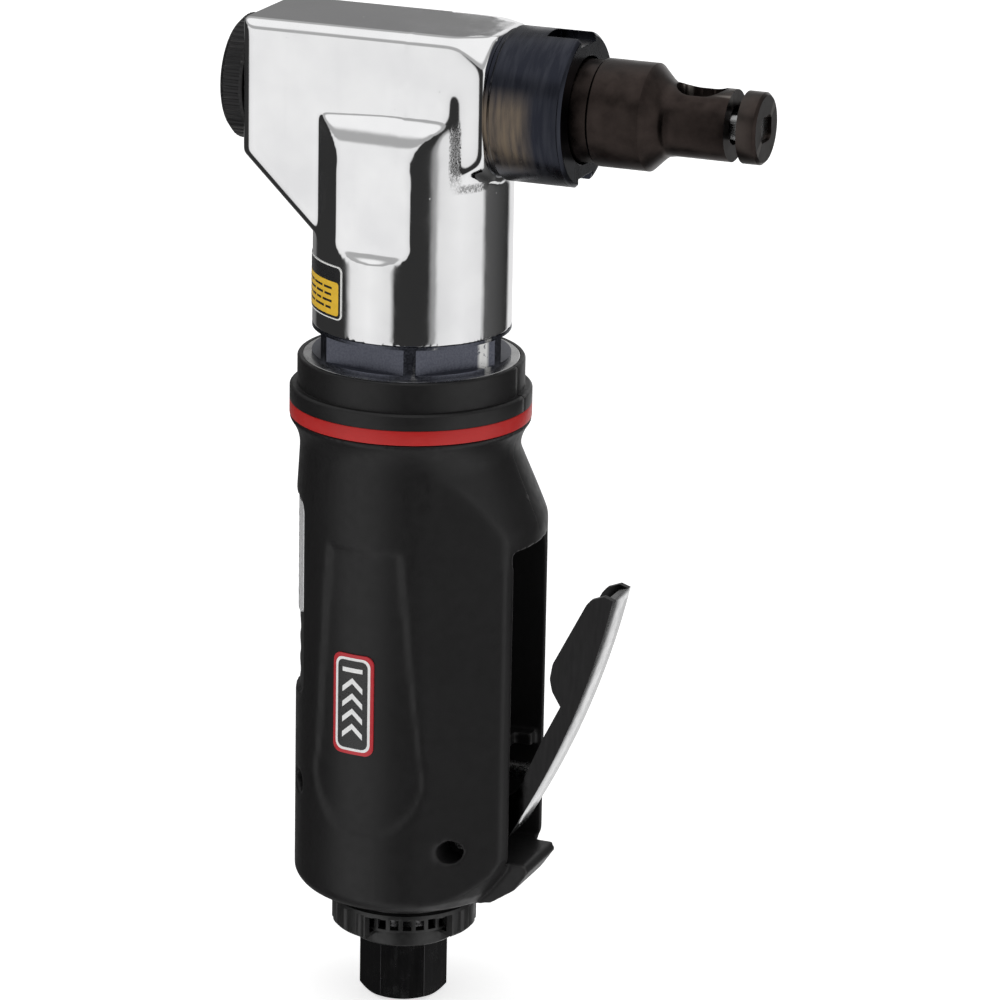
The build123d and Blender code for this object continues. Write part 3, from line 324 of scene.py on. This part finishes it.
def brown_oxide_steel():
    s = Shader("brown_oxide_steel", (0.035, 0.027, 0.024), metallic=1.0, roughness=0.33)
    turned = s.noise(0.35, detail=4, stretch=(1, 0.1, 0.1))
    cloud = s.noise(3, detail=5)
    plain = s.mix(s.span(cloud, 0.3, 0.7, 0, 1), (0.028, 0.0215, 0.0195), (0.052, 0.04, 0.036))
    worn = s.span(s.edges(), 0.53, 0.6, 0, 0.45)
    s.colour(s.mix(worn, plain, (0.4, 0.37, 0.34)))
    s.roughness(s.span(cloud, 0.3, 0.7, 0.27, 0.4))
    s.bump((turned, 0.004), (s.noise(0.25, detail=3), 0.004))
    return s.material


def bright_steel(name, tone, roughness, size_mm, stretch):
    s = Shader(name, (tone, tone, tone * 1.01), metallic=1.0, roughness=roughness)
    lines = s.noise(size_mm, detail=4, stretch=stretch)
    s.colour(s.mix(lines, (tone * 0.85,) * 3, (min(tone * 1.15, 0.95),) * 3))
    s.roughness(s.span(lines, 0.3, 0.7, roughness * 0.7, roughness * 1.4))
    s.bump((lines, 0.003))
    return s.material


def black_oxide_steel():
    s = Shader("black_oxide_steel", (0.02, 0.02, 0.021), metallic=0.6, roughness=0.4)
    grain = s.noise(0.8, detail=5)
    dark = s.mix(grain, (0.012, 0.012, 0.013), (0.035, 0.034, 0.035))
    s.colour(s.mix(s.span(s.edges(), 0.53, 0.6, 0, 0.5), dark, (0.16, 0.155, 0.15)))
    s.roughness(s.span(grain, 0.3, 0.7, 0.32, 0.5))
    s.bump((grain, 0.01))
    return s.material


def yellow_metal(name, base, roughness):
    s = Shader(name, base, metallic=1.0, roughness=roughness)
    grain = s.noise(1.5, detail=4, stretch=(0.3, 1, 1))
    s.colour(s.mix(grain, tuple(c * 0.8 for c in base), base))
    s.roughness(s.span(grain, 0.3, 0.7, roughness * 0.8, roughness * 1.4))
    s.bump((grain, 0.004))
    return s.material


def soft_black_rubber():
    s = Shader("black_rubber", (0.015, 0.015, 0.015), roughness=0.7, specular=0.3)
    grain = s.noise(0.4, detail=4)
    s.colour(s.mix(grain, (0.011, 0.011, 0.011), (0.024, 0.024, 0.024)))
    s.bump((grain, 0.01))
    return s.material


def pressed_felt():
    s = Shader("felt", (0.45, 0.43, 0.38), roughness=0.95, specular=0.1)
    fibre = s.noise(0.3, detail=6, rough=0.75)
    s.colour(s.mix(fibre, (0.3, 0.29, 0.26), (0.6, 0.58, 0.52)))
    s.bump((fibre, 0.15))
    return s.material


def vane_resin():
    s = Shader("vane_composite", (0.2, 0.11, 0.055), roughness=0.5)
    weave = s.noise(0.6, detail=3, stretch=(1, 1, 0.2))
    s.colour(s.mix(weave, (0.15, 0.08, 0.04), (0.27, 0.15, 0.08)))
    s.bump((weave, 0.02))
    return s.material


def foil():
    s = Shader("label_metal", (0.85, 0.85, 0.86), metallic=0.5, roughness=0.28)
    brushed = s.noise(0.5, detail=4, stretch=(1, 1, 0.08))
    s.colour(s.mix(brushed, (0.8, 0.8, 0.81), (0.9, 0.9, 0.9)))
    s.roughness(s.span(brushed, 0.3, 0.7, 0.2, 0.36))
    s.bump((brushed, 0.002))
    return s.material


def ink(name, base, roughness=0.35):
    """Printed vinyl: slightly uneven ink with a soft gloss."""
    s = Shader(name, base, roughness=roughness, specular=0.5)
    thin = tuple(c * 0.88 for c in base)
    full = tuple(min(c * 1.08, 1) for c in base)
    s.colour(s.mix(s.noise(1.2, detail=4), thin, full))
    s.roughness(s.span(s.noise(0.6, detail=3), 0.3, 0.7, roughness * 0.8, roughness * 1.2))
    s.bump((s.noise(0.5, detail=3), 0.002))
    return s.material


MATERIALS = {
    "polished_aluminium": polished_aluminium(),
    "black_composite": black_composite(),
    "red_band": red_band(),
    "black_plastic": black_plastic(),
    "black_nickel": black_nickel(),
    "phosphated_steel": phosphated_steel(),
    "blued_steel": blued_steel(),
    "brown_oxide_steel": brown_oxide_steel(),
    "ground_steel": bright_steel("ground_steel", 0.34, 0.24, 0.4, (1, 1, 1)),
    "machined_steel": bright_steel("machined_steel", 0.55, 0.28, 0.6, (0.15, 0.15, 1)),
    "black_oxide_steel": black_oxide_steel(),
    "spring_steel": bright_steel("spring_steel", 0.5, 0.3, 0.5, (1, 1, 1)),
    "brass": yellow_metal("brass", (0.72, 0.53, 0.25), 0.28),
    "bronze": yellow_metal("bronze", (0.55, 0.36, 0.18), 0.36),
    "vane_composite": vane_resin(),
    "black_rubber": soft_black_rubber(),
    "felt": pressed_felt(),
    "label_metal": foil(),
    "badge_print": ink("badge_print", (0.5, 0.02, 0.03)),
    "caution_print": ink("caution_print", (0.8, 0.8, 0.78)),
}
# the lever's glossy black, with a painted reflection on its outer face
LEVER_BLACK_WITH_PAINTED_REFLECTION = black_lever_painted_reflection()
WHITE_INK = ink("white_ink", (0.82, 0.82, 0.82))
BLACK_INK = ink("black_ink", (0.02, 0.02, 0.021), 0.3)
YELLOW_INK = ink("yellow_ink", (0.82, 0.5, 0.02))
SLOT_OF = {part["node"]: part["material_slot"] for part in frame["record"]["subparts"]}


# ---- CAD nodes: finishes and small edge radii -------------------------------------------------
EDGE_RADIUS_MM = {
    "inlet_bushing": 0.25, "exhaust_deflector": 0.3, "muffler_cage": 0.12, "accent_band": 0.3,
    "grip_collar": 0.35, "clamp_nut": 0.3, "rear_cap": 0.1, "lock_nut": 0.25, "die": 0.15, "punch": 0.15,
    "throttle_lever": 0.3, "grip_screws": 0.15, "lever_pin": 0.2, "motor_housing": 0.25, "rating_plate": 0.05,
    "side_badge": 0.06, "throttle_stem": 0.1, "stem_bushing": 0.1, "die_washer": 0.1,
}


def finish_node(name):
    node = nodes[name]
    material = LEVER_BLACK_WITH_PAINTED_REFLECTION if name == "throttle_lever" else MATERIALS[SLOT_OF[name]]
    node.data.materials.clear()
    node.data.materials.append(material)
    if name in EDGE_RADIUS_MM:
        weld = node.modifiers.new("weld", "WELD")
        weld.merge_threshold = 1e-6
        bevel = node.modifiers.new("edge_radius", "BEVEL")
        bevel.width = EDGE_RADIUS_MM[name] * MM
        bevel.segments = 2
        bevel.limit_method = "ANGLE"
        bevel.angle_limit = radians(32)
        bevel.harden_normals = False
        bevel.use_clamp_overlap = True


for node_name in nodes:
    finish_node(node_name)


# ---- softened castings and mouldings ----------------------------------------------------------
def weld_copy(name, piece_name):
    """A free copy of a CAD node's mesh, with the vertices that its faces share joined."""
    mesh = nodes[name].data.copy()
    mesh.materials.clear()
    piece = bpy.data.objects.new(piece_name, mesh)
    bpy.context.scene.collection.objects.link(piece)
    work = bmesh.new()
    work.from_mesh(mesh)
    bmesh.ops.remove_doubles(work, verts=work.verts, dist=1e-7)
    work.to_mesh(mesh)
    work.free()
    return piece


def remesh(piece, voxel_mm):
    modifier = piece.modifiers.new("remesh", "REMESH")
    modifier.mode = "VOXEL"
    modifier.voxel_size = voxel_mm * MM
    modifier.use_smooth_shade = True
    graph = bpy.context.evaluated_depsgraph_get()
    mesh = bpy.data.meshes.new_from_object(piece.evaluated_get(graph))
    piece.modifiers.clear()
    piece.data = mesh


def coordinates(mesh):
    flat = np.empty(len(mesh.vertices) * 3)
    mesh.vertices.foreach_get("co", flat)
    return flat.reshape(-1, 3)


def relax(piece, weight, passes):
    """Rounds edges: each vertex moves towards its neighbours' mean, by its weight, passes times over."""
    mesh = piece.data
    co = coordinates(mesh)
    pairs = np.empty(len(mesh.edges) * 2, np.int64)
    mesh.edges.foreach_get("vertices", pairs)
    pairs = pairs.reshape(-1, 2)
    a, b = pairs[:, 0], pairs[:, 1]
    count = np.bincount(pairs.ravel(), minlength=len(co)).astype(float)
    for _ in range(passes):
        total = np.stack([np.bincount(a, co[b, axis], len(co)) + np.bincount(b, co[a, axis], len(co))
                          for axis in range(3)], 1)
        co += weight[:, None] * (total / count[:, None] - co) * 0.5
    mesh.vertices.foreach_set("co", co.ravel())
    mesh.update()


def soft_head():
    """The polished casting. Its outside edges are rounded, its bores and its foot stay crisp."""
    piece = weld_copy("head_housing", "polished_head")
    remesh(piece, 0.4)
    co = coordinates(piece.data) / MM
    from_axis = np.hypot(co[:, 0], co[:, 1])
    from_nose = np.hypot(co[:, 1], co[:, 2] - NOSE_Z / MM)
    outside = np.ones(len(co))
    outside[(from_axis < 18.0) & (co[:, 2] < 185)] = 0
    outside[(from_nose < 13.9)] = 0
    outside[co[:, 2] < 157.0] = 0.12
    relax(piece, outside, 10)
    nose_cheek = (co[:, 0] > 4) & (co[:, 0] < 27) & (co[:, 2] > 189) & (np.abs(co[:, 1]) > 8)
    relax(piece, outside * nose_cheek.astype(float), 30)
    piece.data.materials.append(MATERIALS["polished_aluminium"])
    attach(piece, "handle")
    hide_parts("head_housing")
    return piece


def soft_grip():
    """The moulded grip, with soft edges round the scoops and firmer ones round the lever slot."""
    piece = weld_copy("grip", "moulded_grip")
    remesh(piece, 0.5)
    co = coordinates(piece.data) / MM
    radius = np.hypot(co[:, 0], co[:, 1])
    angle = np.degrees(np.arctan2(co[:, 1], co[:, 0]))
    weight = np.full(len(co), 0.15)
    scoop = (radius > 23.0) & (np.abs(np.abs(angle) - 92) < 42) & (co[:, 2] > 38) & (co[:, 2] < 116)
    weight[scoop] = 1.0
    neck = (radius > 22.0) & (co[:, 2] > 106) & (co[:, 2] < 133) & (np.abs(angle) < 100)
    weight[neck] = 1.0
    weight[(co[:, 0] > 20) & (np.abs(co[:, 1]) < 9.5) & (co[:, 2] < 112)] = 0.04
    relax(piece, weight, 15)
    piece.data.materials.append(MATERIALS["black_composite"])
    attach(piece, "handle")
    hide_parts("grip")
    return piece


def throttle_spring():
    """A welded copy of the valve spring with its own mesh. The stem presses the real spring shorter as the
    lever is squeezed; this copy keeps the CAD length.
    """
    piece = weld_copy("valve_spring", "throttle_spring")
    piece.data.materials.append(MATERIALS["spring_steel"])
    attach(piece, "handle")
    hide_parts("valve_spring")
    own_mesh(piece)


soft_head()
soft_grip()
throttle_spring()


# ---- printed badges ---------------------------------------------------------------------------
def rounded_outline(width, height, corner, steps=5):
    """A rounded rectangle about the origin, as (across, up) points in mm."""
    points = []
    for quarter, (sx, sy) in enumerate(((1, 1), (-1, 1), (-1, -1), (1, -1))):
        for step in range(steps + 1):
            a = radians(90 * quarter + 90 * step / steps)
            across = sx * (width / 2 - corner) + corner * cos(a)
            up = sy * (height / 2 - corner) + corner * sin(a)
            points.append((across, up))
    return points


def bar(width, height):
    right, top = width / 2, height / 2
    return [(right, top), (-right, top), (-right, -top), (right, -top)]


def chevron(width, rise, thick):
    half = width / 2
    edge = thick / 2
    return [(half, edge), (0, rise + edge), (-half, edge), (-half, -edge), (0, rise - edge), (half, -edge)]


STRIP_MM = 0.7                # width of the strips that a printed layer is cut into to bend it


def printed_patch(name, shapes, radius_mm, middle_deg, z_mm, thick_mm, material, body):
    """Flat shapes, each (outline, across, up), wrapped on a cylinder about Z as one thin raised layer."""
    work = bmesh.new()
    for outline, across, up in shapes:
        work.faces.new([work.verts.new((u + across, v + up, 0)) for u, v in outline])
    work.normal_update()
    bmesh.ops.triangulate(work, faces=work.faces)
    low = min(v.co.x for v in work.verts)
    high = max(v.co.x for v in work.verts)
    cuts = int((high - low) / STRIP_MM)
    for cut in range(1, cuts + 1):
        everything = list(work.verts) + list(work.edges) + list(work.faces)
        place = (low + cut * STRIP_MM, 0, 0)
        bmesh.ops.bisect_plane(work, geom=everything, plane_co=place, plane_no=(1, 0, 0))
    lower = list(work.faces)
    raised = bmesh.ops.extrude_face_region(work, geom=lower)
    top = [v for v in raised["geom"] if isinstance(v, bmesh.types.BMVert)]
    for v in top:
        v.co.z = thick_mm
    for v in work.verts:
        angle = radians(middle_deg) + v.co.x / radius_mm
        reach = (radius_mm + v.co.z) * MM
        v.co = Vector((reach * cos(angle), reach * sin(angle), (z_mm + v.co.y) * MM))
    bmesh.ops.recalc_face_normals(work, faces=work.faces)
    mesh = bpy.data.meshes.new(name)
    work.to_mesh(mesh)
    work.free()
    mesh.materials.append(material)
    piece = bpy.data.objects.new(name, mesh)
    bpy.context.scene.collection.objects.link(piece)
    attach(piece, body)
    return piece


def side_badge_print():
    middle, radius = -97.0, 24.3
    z = (BADGE_LOW.z + BADGE_HIGH.z) / 2 / MM
    printed_patch("badge_white", [(rounded_outline(8.6, 21.4, 1.8), 0, 0)], radius, middle, z, 0.03,
                  WHITE_INK, "handle")
    printed_patch("badge_black", [(rounded_outline(7.4, 20.2, 1.4), 0, 0)], radius + 0.03, middle, z, 0.03,
                  BLACK_INK, "handle")
    arrows = [(chevron(5.0, 2.2, 1.3), 0, up) for up in (-7.2, -3.7, -0.2, 3.3)]
    printed_patch("badge_marks", arrows + [(bar(5.0, 1.0), 0, 7.9)], radius + 0.06, middle, z, 0.03,
                  WHITE_INK, "handle")


def caution_print():
    radius = 21.85
    middle = -137.3
    z = (CAUTION_LOW.z + CAUTION_HIGH.z) / 2 / MM
    printed_patch("caution_black", [(rounded_outline(18.9, 11.2, 1.0), 0, 0)], radius, middle, z, 0.02,
                  BLACK_INK, "handle")
    printed_patch("caution_yellow", [(rounded_outline(17.8, 7.4, 0.7), 0, -1.35)], radius + 0.02, middle, z,
                  0.02, YELLOW_INK, "handle")
    dashes = []
    rows = ((3.1, 2.2, 4.2, 3.0), (2.4, 4.0, 3.3, 2.6), (4.1, 2.6, 2.2, 3.6), (2.2, 3.6, 4.4, 2.0))
    for row, lengths in enumerate(rows):
        across = -7.9
        for length in lengths:
            dashes.append((bar(length, 0.5), across + length / 2, 0.85 - 1.45 * row))
            across += length + 0.7
    printed_patch("caution_dashes", dashes, radius + 0.04, middle, z, 0.02,
                  BLACK_INK, "handle")


def rating_print():
    radius = 24.2
    z = (PLATE_LOW.z + PLATE_HIGH.z) / 2 / MM
    shapes = [(bar(26.0, 0.5), 0, 9.0), (bar(26.0, 0.5), 0, -9.0)]
    for row in range(6):
        for column, length in enumerate((5.0, 7.5, 4.5)):
            shapes.append((bar(length - row % 3, 0.6), -9.0 + 9.0 * column, 6.0 - 2.4 * row))
    printed_patch("rating_marks", shapes, radius, 180.0, z, 0.02, BLACK_INK, "handle")


side_badge_print()
caution_print()
rating_print()


# ---- studio -----------------------------------------------------------------------------------
CAMERA_TURN = 21.30
CAMERA_RISE = 17.17
CAMERA_ROLL = 1.09
CAMERA_RANGE = 1.1208
CAMERA_LENS = 183.82
TARGET_RIGHT = 0.019844
TARGET_HEIGHT = 0.1152


def pale_floor():
    floor_z = cad_bounds[0].z - 0.0003
    mesh = bpy.data.meshes.new("studio_floor")
    work = bmesh.new()
    bmesh.ops.create_circle(work, cap_ends=True, radius=14.0, segments=96)
    for v in work.verts:
        v.co.z = floor_z
    work.to_mesh(mesh)
    work.free()
    floor = bpy.data.objects.new("studio_floor", mesh)
    bpy.context.scene.collection.objects.link(floor)
    s = Shader("studio_floor", (0.9, 0.9, 0.9), roughness=0.9, specular=0.0)
    s.colour(s.mix(s.noise(300, detail=1), (0.89, 0.89, 0.89), (0.91, 0.91, 0.91)))
    s.bsdf.inputs["Emission Color"].default_value = (1, 1, 1, 1)
    s.bsdf.inputs["Emission Strength"].default_value = 0.62
    mesh.materials.append(s.material)
    floor.visible_glossy = False


def studio_light():
    """Surroundings: two tall soft boxes in front, a bright and a dim screen behind, and a soft top."""
    world = bpy.data.worlds.new("studio")
    bpy.context.scene.world = world
    world.use_nodes = True
    tree = world.node_tree
    background = tree.nodes["Background"]
    coord = tree.nodes.new("ShaderNodeTexCoord")
    split = tree.nodes.new("ShaderNodeSeparateXYZ")
    tree.links.new(coord.outputs["Generated"], split.inputs[0])
    # turn the axes so that 0.5 on the ramp faces the front of the set
    front = radians(CAMERA_TURN - 90)
    angle = tree.nodes.new("ShaderNodeMath")
    angle.operation = "ARCTAN2"
    dots = []
    for fx, fy in ((-sin(front), cos(front)), (cos(front), sin(front))):
        across = tree.nodes.new("ShaderNodeVectorMath")
        across.operation = "DOT_PRODUCT"
        across.inputs[1].default_value = (fx, fy, 0)
        tree.links.new(coord.outputs["Generated"], across.inputs[0])
        dots.append(across.outputs["Value"])
    tree.links.new(dots[0], angle.inputs[0])
    tree.links.new(dots[1], angle.inputs[1])
    turn = tree.nodes.new("ShaderNodeMapRange")
    turn.inputs["From Min"].default_value = -pi
    turn.inputs["From Max"].default_value = pi
    tree.links.new(angle.outputs[0], turn.inputs["Value"])
    ramp = tree.nodes.new("ShaderNodeValToRGB")
    tree.links.new(turn.outputs["Result"], ramp.inputs["Fac"])
    dark, bright = 0.03, 0.9
    stops = [(-180, 0.22), (-150, 0.18), (-142, dark), (-82, dark), (-74, 0.8), (-50, bright), (-25, 0.78),
             (-20, dark), (19, dark), (23, 0.3), (27, 0.36), (30, 0.78), (58, bright), (87, 0.8), (93, 0.1),
             (140, dark), (148, 0.8), (180, 0.85)]
    elements = ramp.color_ramp.elements
    for index, (degree, level) in enumerate(stops):
        place = degree / 360 + 0.5
        element = elements[index] if index < 2 else elements.new(place)
        element.position = place
        element.color = (level, level, level, 1)
    # a grey gap above the soft boxes, then a soft top
    colour = ramp.outputs["Color"]
    for low, high, level in ((0.36, 0.46, 0.42), (0.66, 0.78, 0.95)):
        rise = tree.nodes.new("ShaderNodeMapRange")
        rise.interpolation_type = "SMOOTHSTEP"
        rise.inputs["From Min"].default_value = low
        rise.inputs["From Max"].default_value = high
        tree.links.new(split.outputs["Z"], rise.inputs["Value"])
        mix = tree.nodes.new("ShaderNodeMix")
        mix.data_type = "RGBA"
        tree.links.new(rise.outputs["Result"], mix.inputs[0])
        tree.links.new(colour, mix.inputs[6])
        mix.inputs[7].default_value = (level, level, level, 1)
        colour = mix.outputs[2]
    tree.links.new(colour, background.inputs["Color"])
    background.inputs["Strength"].default_value = 1.0


def add_camera():
    turn, rise, roll = radians(CAMERA_TURN), radians(CAMERA_RISE), radians(CAMERA_ROLL)
    back = Vector((sin(turn) * cos(rise), -cos(turn) * cos(rise), sin(rise)))
    right = Vector((cos(turn), sin(turn), 0))
    up = back.cross(right)
    target = right * TARGET_RIGHT + Vector((0, 0, TARGET_HEIGHT))
    place = target + back * CAMERA_RANGE
    x_axis = right * cos(roll) + up * sin(roll)
    y_axis = up * cos(roll) - right * sin(roll)
    data = bpy.data.cameras.new("photo_view")
    data.sensor_width = 36.0
    data.lens = CAMERA_LENS
    data.clip_start = 0.05
    data.clip_end = 50.0
    camera = bpy.data.objects.new("photo_view", data)
    bpy.context.scene.collection.objects.link(camera)
    camera.matrix_world = Matrix(((x_axis.x, y_axis.x, back.x, place.x),
                                  (x_axis.y, y_axis.y, back.y, place.y),
                                  (x_axis.z, y_axis.z, back.z, place.z),
                                  (0, 0, 0, 1)))
    bpy.context.scene.camera = camera


pale_floor()
studio_light()
add_camera()
bpy.context.scene.view_settings.view_transform = "Standard"
